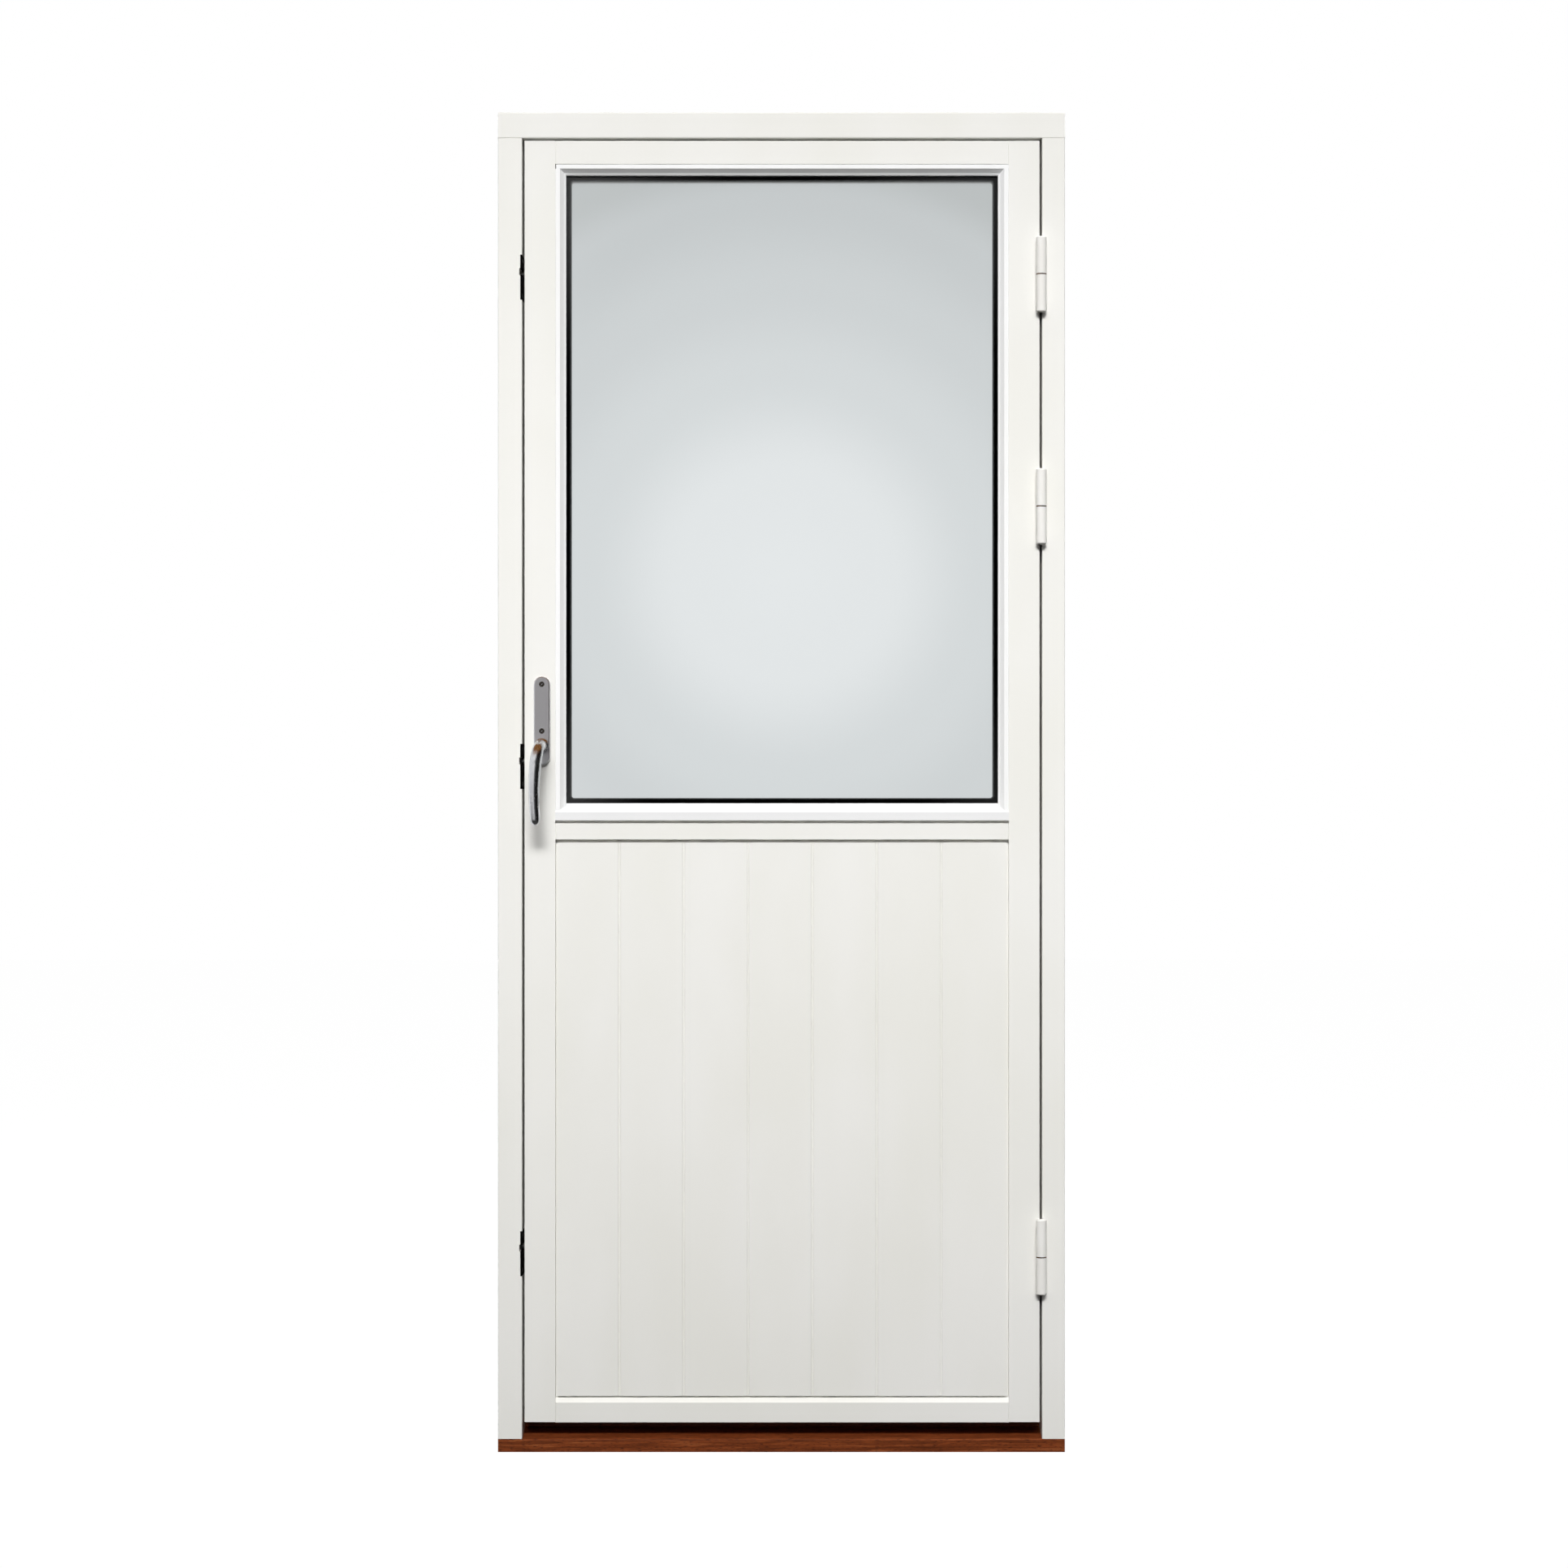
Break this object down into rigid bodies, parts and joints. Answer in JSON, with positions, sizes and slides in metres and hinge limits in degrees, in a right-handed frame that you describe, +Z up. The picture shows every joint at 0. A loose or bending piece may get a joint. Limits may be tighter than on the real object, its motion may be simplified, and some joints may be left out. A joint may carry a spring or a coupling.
{
  "type": "balcony door",
  "caption": "Painted timber balcony door in its frame, glazed above a grooved panel, outward opening on lift-off hinges, with an espagnolette handle and a hardwood threshold.",
  "frame": {"origin": "middle of the threshold's underside along the frame's width, in the plane of the frame's outer face", "axes": "+X to the right seen from outside, towards the hinges; +Y indoors, across the frame's depth; +Z up"},
  "size_m": [0.88, 0.1794, 2.08],
  "materials": {
    "painted_timber": "white paint, satin",
    "painted_sheet": "white paint, satin",
    "oiled_hardwood": "oiled",
    "beech": "planed",
    "foam_core": "matt foam",
    "gasket_rubber": "matt",
    "spacer_plastic": "matt",
    "glass": "clear float",
    "zinc_plated_steel": "zinc plated",
    "painted_hinge_steel": "cream white paint",
    "brass": "turned",
    "satin_chrome": "satin",
    "nylon": "moulded"
  },
  "bodies": {
    "frame": {"head": "painted_timber", "lock_jamb": "painted_timber", "hinge_jamb": "painted_timber", "threshold": "oiled_hardwood", "frame_gasket": "gasket_rubber", "frame_screws": "zinc_plated_steel", "strike_screws": "zinc_plated_steel", "hinge_washers": "brass", "hinge_frame_screws": "zinc_plated_steel", "lower_hinge_frame_half": "painted_hinge_steel", "middle_hinge_frame_half": "painted_hinge_steel", "upper_hinge_frame_half": "painted_hinge_steel", "lower_hinge_pin": "zinc_plated_steel", "middle_hinge_pin": "zinc_plated_steel", "upper_hinge_pin": "zinc_plated_steel", "lower_strike": "zinc_plated_steel", "middle_strike": "zinc_plated_steel", "upper_strike": "zinc_plated_steel"},
    "leaf": {"lock_stile": "painted_timber", "hinge_stile": "painted_timber", "top_rail": "painted_timber", "mid_rail": "painted_timber", "bottom_rail": "painted_timber", "rail_dowels": "beech", "panel_outer_sheet": "painted_sheet", "panel_core": "foam_core", "panel_inner_sheet": "painted_sheet", "top_bead": "painted_timber", "lock_side_bead": "painted_timber", "hinge_side_bead": "painted_timber", "sill_bead": "painted_timber", "outer_pane": "glass", "inner_pane": "glass", "glass_spacer": "spacer_plastic", "edge_seal": "gasket_rubber", "outer_glazing_tape": "gasket_rubber", "inner_glazing_tape": "gasket_rubber", "setting_blocks": "spacer_plastic", "faceplate": "zinc_plated_steel", "faceplate_screws": "zinc_plated_steel", "gearcase": "zinc_plated_steel", "outer_backplate": "satin_chrome", "inner_backplate": "satin_chrome", "plate_screws": "satin_chrome", "outer_bush": "nylon", "inner_bush": "nylon", "hinge_leaf_screws": "zinc_plated_steel", "lower_hinge_leaf_half": "painted_hinge_steel", "middle_hinge_leaf_half": "painted_hinge_steel", "upper_hinge_leaf_half": "painted_hinge_steel"},
    "handle": {"outer_lever": "satin_chrome", "inner_lever": "satin_chrome", "spindle": "zinc_plated_steel", "pinion": "zinc_plated_steel"},
    "locking_rod": {"drive_rod": "zinc_plated_steel", "locking_pins": "zinc_plated_steel"}
  },
  "joints": [
    {"name": "leaf_swing", "type": "hinge", "parent": "frame", "child": "leaf", "pos_m": [0.40275, -0.0085, 1], "axis": [0, 0, 1], "range_deg": [0, 175]},
    {"name": "handle_turn", "type": "hinge", "parent": "leaf", "child": "handle", "pos_m": [-0.3715, 0.028, 1.097], "axis": [0, -1, 0], "range_deg": [0, 90]},
    {"name": "rod_slide", "type": "slide", "parent": "leaf", "child": "locking_rod", "axis": [0, 0, -1], "range_m": [0, 0.0178]}
  ],
  "couplings": [
    {"joint": "rod_slide", "follows": "handle_turn", "m_per_rad": 0.01125}
  ]
}
